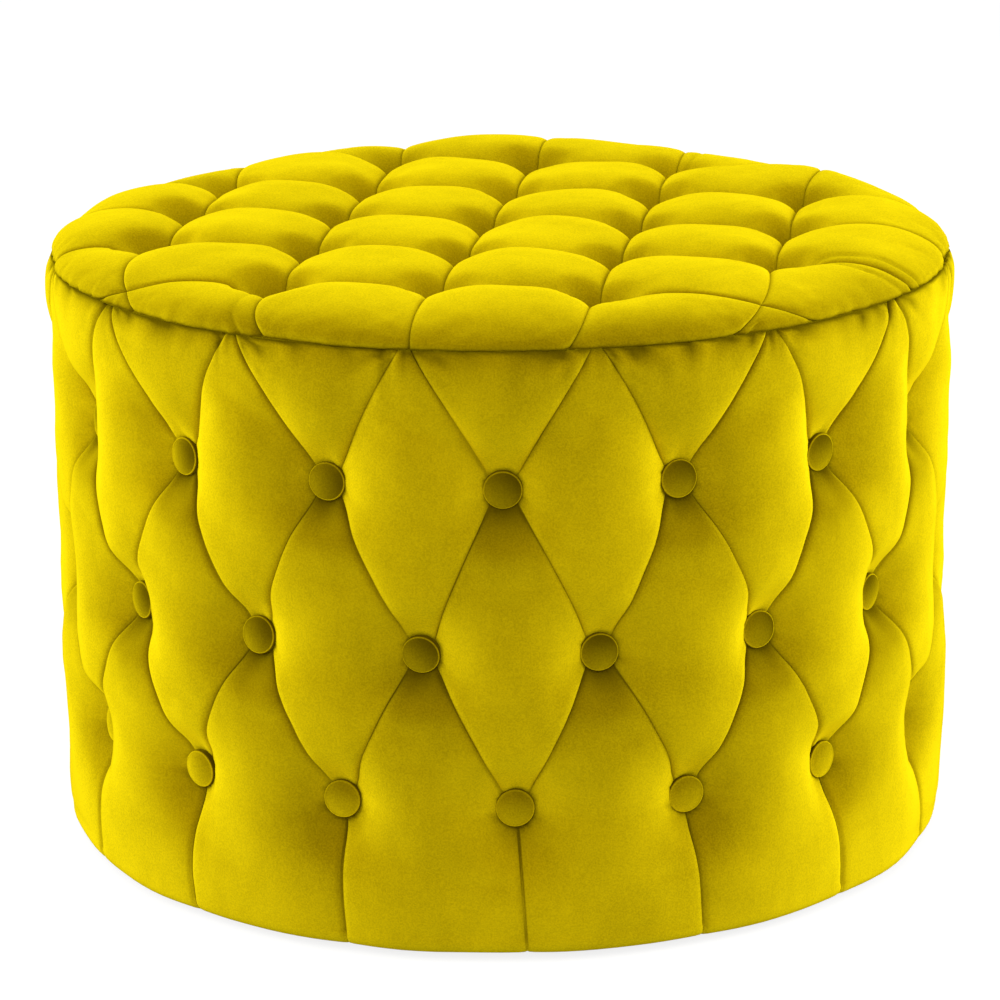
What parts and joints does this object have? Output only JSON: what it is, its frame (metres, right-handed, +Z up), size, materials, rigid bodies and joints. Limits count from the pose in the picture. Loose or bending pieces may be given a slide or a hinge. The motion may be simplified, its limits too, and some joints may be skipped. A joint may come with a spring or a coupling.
{
  "type": "ottoman",
  "caption": "Round drum ottoman in yellow velvet, deep-buttoned in diamonds around the side and in squares on top.",
  "frame": {"origin": "The middle of the drum on the floor, under the glides.", "axes": "+Z up along the drum's axis; -Y is the front, which the picture faces; +X to its right."},
  "size_m": [0.6, 0.6, 0.42],
  "materials": {
    "velvet": "Bright yellow short-pile velvet, with a sheen at grazing angles.",
    "plywood": "Bare birch plywood with visible plies at its edges.",
    "timber": "Sawn pine battens, unfinished.",
    "hardboard": "Brown hardboard, smooth face outwards.",
    "foam": "Cream polyurethane foam.",
    "wadding": "White polyester fibre wadding.",
    "button_steel": "Pressed steel button back with a wire eye.",
    "twine": "Waxed flax tufting twine.",
    "washer_plastic": "Moulded plastic tufting washer.",
    "fastener_steel": "Zinc-plated steel.",
    "dust_cloth": "Black spun-bonded dust cloth.",
    "nylon": "Black nylon glide."
  },
  "bodies": {
    "root": {"base_ring": "plywood", "top_board": "plywood", "post_1": "timber", "post_2": "timber", "post_3": "timber", "post_4": "timber", "post_5": "timber", "post_6": "timber", "post_7": "timber", "post_8": "timber", "side_wall": "hardboard", "side_foam": "foam", "top_foam": "foam", "side_wadding": "wadding", "top_wadding": "wadding", "side_cover": "velvet", "top_cover": "velvet", "upper_row_buttons": "velvet", "middle_row_buttons": "velvet", "lower_row_buttons": "velvet", "top_buttons": "velvet", "side_button_backs": "button_steel", "top_button_backs": "button_steel", "side_twines": "twine", "top_twines": "twine", "side_washers": "washer_plastic", "top_washers": "washer_plastic", "top_board_screws": "fastener_steel", "base_ring_screws": "fastener_steel", "wall_staples": "fastener_steel", "dust_cover_staples": "fastener_steel", "glide_nails": "fastener_steel", "dust_cover": "dust_cloth", "glide_1": "nylon", "glide_2": "nylon", "glide_3": "nylon", "glide_4": "nylon", "glide_5": "nylon", "glide_6": "nylon"}
  },
  "joints": []
}
